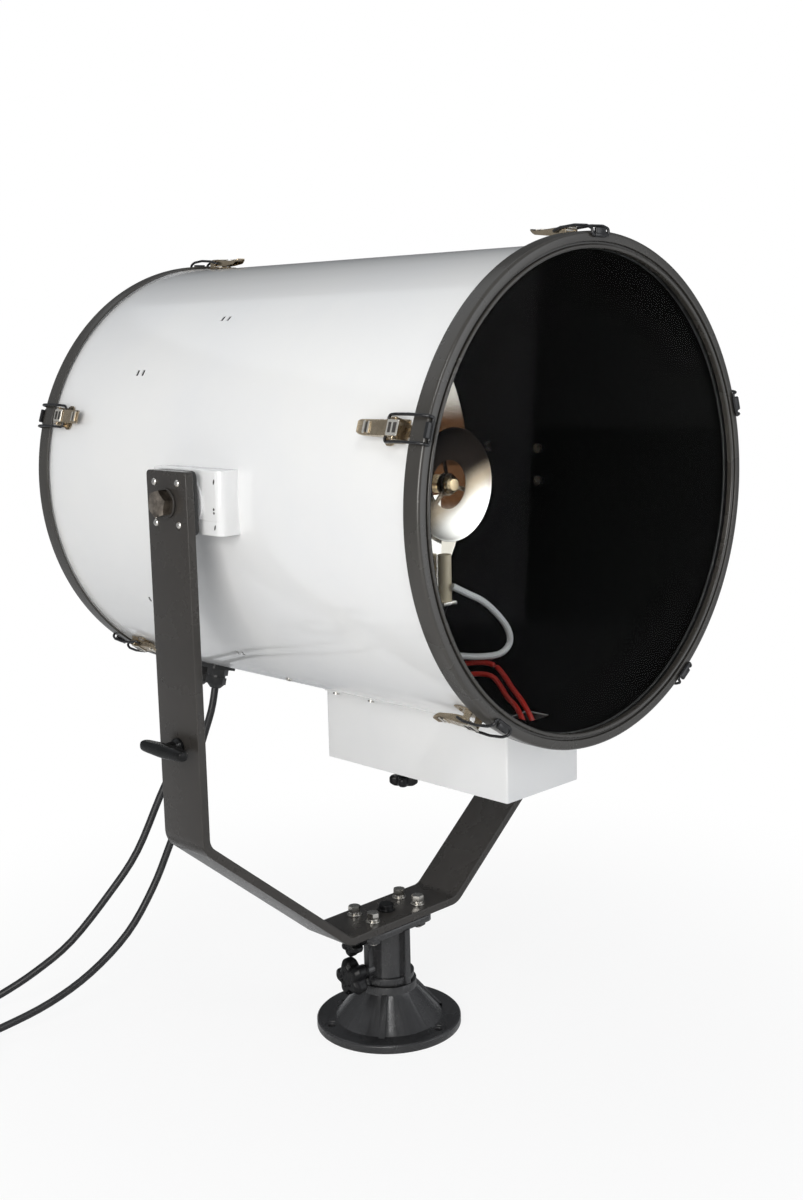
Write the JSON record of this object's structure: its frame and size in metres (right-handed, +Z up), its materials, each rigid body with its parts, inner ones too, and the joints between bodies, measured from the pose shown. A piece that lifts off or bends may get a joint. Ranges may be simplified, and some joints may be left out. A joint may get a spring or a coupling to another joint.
{
  "type": "marine searchlight",
  "caption": "Drum searchlight with a clear front glass and toggle-latched rings, tilting in a bent-bar yoke on a rotating bolt-down pedestal.",
  "frame": {"origin": "on the pan axis at the underside of the base flange", "axes": "+Z up the pan axis; the beam points along -Y at rest; the tilt axis is along X"},
  "size_m": [0.9703, 1.0059, 1.1086],
  "materials": {
    "white_paint": "gloss",
    "grey_paint": "satin",
    "steel": "satin",
    "stainless": "satin",
    "bronze": "satin",
    "black_plastic": "satin",
    "black_wire": "gloss",
    "nylon": "matte",
    "seal_rubber": "matte",
    "front_glass": "polished",
    "mirror": "polished",
    "dark_steel": "matte",
    "quartz": "polished",
    "ceramic": "satin",
    "white_sleeve": "satin",
    "red_sleeve": "satin",
    "cable_rubber": "matte"
  },
  "bodies": {
    "base": {"base_casting": "grey_paint", "pan_spindle": "steel", "thrust_washer": "nylon"},
    "yoke": {"pedestal_post": "grey_paint", "pan_bush": "bronze", "yoke_bar": "grey_paint", "yoke_fasteners": "steel", "spindle_cap": "black_plastic", "bearing_plates": "black_plastic", "trunnion_bushes": "bronze", "cable_front": "cable_rubber", "cable_rear": "cable_rubber", "coil_front": "cable_rubber", "coil_rear": "cable_rubber"},
    "head": {"drum_shell": "white_paint", "trunnion_blocks": "white_paint", "trunnion_bolts": "steel", "drum_screws": "steel", "front_bezel": "grey_paint", "front_glass": "front_glass", "rear_ring": "grey_paint", "rear_cover": "white_paint", "ring_seals": "seal_rubber", "reflector": "mirror", "reflector_brackets": "dark_steel", "lamp_frame": "dark_steel", "lamp": "quartz", "lamp_ceramics": "ceramic", "cup_reflector": "mirror", "lamp_strut": "steel", "white_lead": "white_sleeve", "red_leads": "red_sleeve", "ignitor_box": "white_paint", "ignitor": "dark_steel", "cable_glands": "black_plastic", "latch_bases": "stainless"},
    "pan_lock": {"pan_lock_knob": "black_plastic"},
    "pan_drag": {"pan_drag_knob": "black_plastic"},
    "tilt_handle": {"t_handle": "black_plastic"},
    "box_screw": {"box_knob": "black_plastic"},
    "lever_0": {"latch_lever_0": "stainless"},
    "bail_0": {"latch_bail_0": "black_wire"},
    "lever_1": {"latch_lever_1": "stainless"},
    "bail_1": {"latch_bail_1": "black_wire"},
    "lever_2": {"latch_lever_2": "stainless"},
    "bail_2": {"latch_bail_2": "black_wire"},
    "lever_3": {"latch_lever_3": "stainless"},
    "bail_3": {"latch_bail_3": "black_wire"},
    "lever_4": {"latch_lever_4": "stainless"},
    "bail_4": {"latch_bail_4": "black_wire"},
    "lever_5": {"latch_lever_5": "stainless"},
    "bail_5": {"latch_bail_5": "black_wire"},
    "lever_6": {"latch_lever_6": "stainless"},
    "bail_6": {"latch_bail_6": "black_wire"},
    "lever_7": {"latch_lever_7": "stainless"},
    "bail_7": {"latch_bail_7": "black_wire"},
    "lever_8": {"latch_lever_8": "stainless"},
    "bail_8": {"latch_bail_8": "black_wire"},
    "lever_9": {"latch_lever_9": "stainless"},
    "bail_9": {"latch_bail_9": "black_wire"}
  },
  "joints": [
    {"name": "pan", "type": "hinge", "parent": "base", "child": "yoke", "pos_m": [0, 0, 0.1], "axis": [0, 0, 1], "range_deg": [-180, 180]},
    {"name": "tilt", "type": "hinge", "parent": "yoke", "child": "head", "pos_m": [0, 0, 0.793], "axis": [-1, 0, 0], "range_deg": [-30, 45], "deforming": ["cable_front", "cable_rear"]},
    {"name": "pan_lock_turn", "type": "hinge", "parent": "yoke", "child": "pan_lock", "pos_m": [-0.06, 0, 0.091], "axis": [-1, 0, 0], "range_deg": [0, 360]},
    {"name": "pan_drag_turn", "type": "hinge", "parent": "yoke", "child": "pan_drag", "pos_m": [-0.06, 0, 0.139], "axis": [-1, 0, 0], "range_deg": [0, 360]},
    {"name": "handle_turn", "type": "hinge", "parent": "yoke", "child": "tilt_handle", "pos_m": [-0.35, 0, 0.489], "axis": [-1, 0, 0], "range_deg": [0, 360]},
    {"name": "box_screw_turn", "type": "hinge", "parent": "head", "child": "box_screw", "pos_m": [-0.045, -0.088, 0.409], "axis": [0, 0, -1], "range_deg": [0, 360]},
    {"name": "lever_0_open", "type": "hinge", "parent": "head", "child": "lever_0", "pos_m": [0.29497, -0.338, 0.88884], "axis": [0.309, 0, -0.9511], "range_deg": [0, 120]},
    {"name": "bail_0_swing", "type": "hinge", "parent": "lever_0", "child": "bail_0", "pos_m": [0.29402, -0.326, 0.88853], "axis": [0.309, 0, -0.9511], "range_deg": [-141, 1]},
    {"name": "lever_1_open", "type": "hinge", "parent": "head", "child": "lever_1", "pos_m": [0, -0.338, 1.10315], "axis": [1, 0, 0], "range_deg": [0, 120]},
    {"name": "bail_1_swing", "type": "hinge", "parent": "lever_1", "child": "bail_1", "pos_m": [0, -0.326, 1.10215], "axis": [1, 0, 0], "range_deg": [-141, 1]},
    {"name": "lever_2_open", "type": "hinge", "parent": "head", "child": "lever_2", "pos_m": [-0.29497, -0.338, 0.88884], "axis": [0.309, 0, 0.9511], "range_deg": [0, 120]},
    {"name": "bail_2_swing", "type": "hinge", "parent": "lever_2", "child": "bail_2", "pos_m": [-0.29402, -0.326, 0.88853], "axis": [0.309, 0, 0.9511], "range_deg": [-141, 1]},
    {"name": "lever_3_open", "type": "hinge", "parent": "head", "child": "lever_3", "pos_m": [-0.1823, -0.338, 0.54208], "axis": [-0.809, 0, 0.5878], "range_deg": [0, 120]},
    {"name": "bail_3_swing", "type": "hinge", "parent": "lever_3", "child": "bail_3", "pos_m": [-0.18171, -0.326, 0.54289], "axis": [-0.809, 0, 0.5878], "range_deg": [-141, 1]},
    {"name": "lever_4_open", "type": "hinge", "parent": "head", "child": "lever_4", "pos_m": [0.1823, -0.338, 0.54208], "axis": [-0.809, 0, -0.5878], "range_deg": [0, 120]},
    {"name": "bail_4_swing", "type": "hinge", "parent": "lever_4", "child": "bail_4", "pos_m": [0.18171, -0.326, 0.54289], "axis": [-0.809, 0, -0.5878], "range_deg": [-141, 1]},
    {"name": "lever_5_open", "type": "hinge", "parent": "head", "child": "lever_5", "pos_m": [0.28926, 0.324, 0.88699], "axis": [-0.309, 0, 0.9511], "range_deg": [0, 120]},
    {"name": "bail_5_swing", "type": "hinge", "parent": "lever_5", "child": "bail_5", "pos_m": [0.28831, 0.312, 0.88668], "axis": [-0.309, 0, 0.9511], "range_deg": [-141, 1]},
    {"name": "lever_6_open", "type": "hinge", "parent": "head", "child": "lever_6", "pos_m": [0, 0.324, 1.09715], "axis": [-1, 0, 0], "range_deg": [0, 120]},
    {"name": "bail_6_swing", "type": "hinge", "parent": "lever_6", "child": "bail_6", "pos_m": [0, 0.312, 1.09615], "axis": [-1, 0, 0], "range_deg": [-141, 1]},
    {"name": "lever_7_open", "type": "hinge", "parent": "head", "child": "lever_7", "pos_m": [-0.28926, 0.324, 0.88699], "axis": [-0.309, 0, -0.9511], "range_deg": [0, 120]},
    {"name": "bail_7_swing", "type": "hinge", "parent": "lever_7", "child": "bail_7", "pos_m": [-0.28831, 0.312, 0.88668], "axis": [-0.309, 0, -0.9511], "range_deg": [-141, 1]},
    {"name": "lever_8_open", "type": "hinge", "parent": "head", "child": "lever_8", "pos_m": [-0.17877, 0.324, 0.54694], "axis": [0.809, 0, -0.5878], "range_deg": [0, 120]},
    {"name": "bail_8_swing", "type": "hinge", "parent": "lever_8", "child": "bail_8", "pos_m": [-0.17819, 0.312, 0.54775], "axis": [0.809, 0, -0.5878], "range_deg": [-141, 1]},
    {"name": "lever_9_open", "type": "hinge", "parent": "head", "child": "lever_9", "pos_m": [0.17877, 0.324, 0.54694], "axis": [0.809, 0, 0.5878], "range_deg": [0, 120]},
    {"name": "bail_9_swing", "type": "hinge", "parent": "lever_9", "child": "bail_9", "pos_m": [0.17819, 0.312, 0.54775], "axis": [0.809, 0, 0.5878], "range_deg": [-141, 1]}
  ],
  "couplings": [
    {"joint": "bail_0_swing", "follows": "lever_0_open", "ratio": -1.1667},
    {"joint": "bail_1_swing", "follows": "lever_1_open", "ratio": -1.1667},
    {"joint": "bail_2_swing", "follows": "lever_2_open", "ratio": -1.1667},
    {"joint": "bail_3_swing", "follows": "lever_3_open", "ratio": -1.1667},
    {"joint": "bail_4_swing", "follows": "lever_4_open", "ratio": -1.1667},
    {"joint": "bail_5_swing", "follows": "lever_5_open", "ratio": -1.1667},
    {"joint": "bail_6_swing", "follows": "lever_6_open", "ratio": -1.1667},
    {"joint": "bail_7_swing", "follows": "lever_7_open", "ratio": -1.1667},
    {"joint": "bail_8_swing", "follows": "lever_8_open", "ratio": -1.1667},
    {"joint": "bail_9_swing", "follows": "lever_9_open", "ratio": -1.1667}
  ]
}
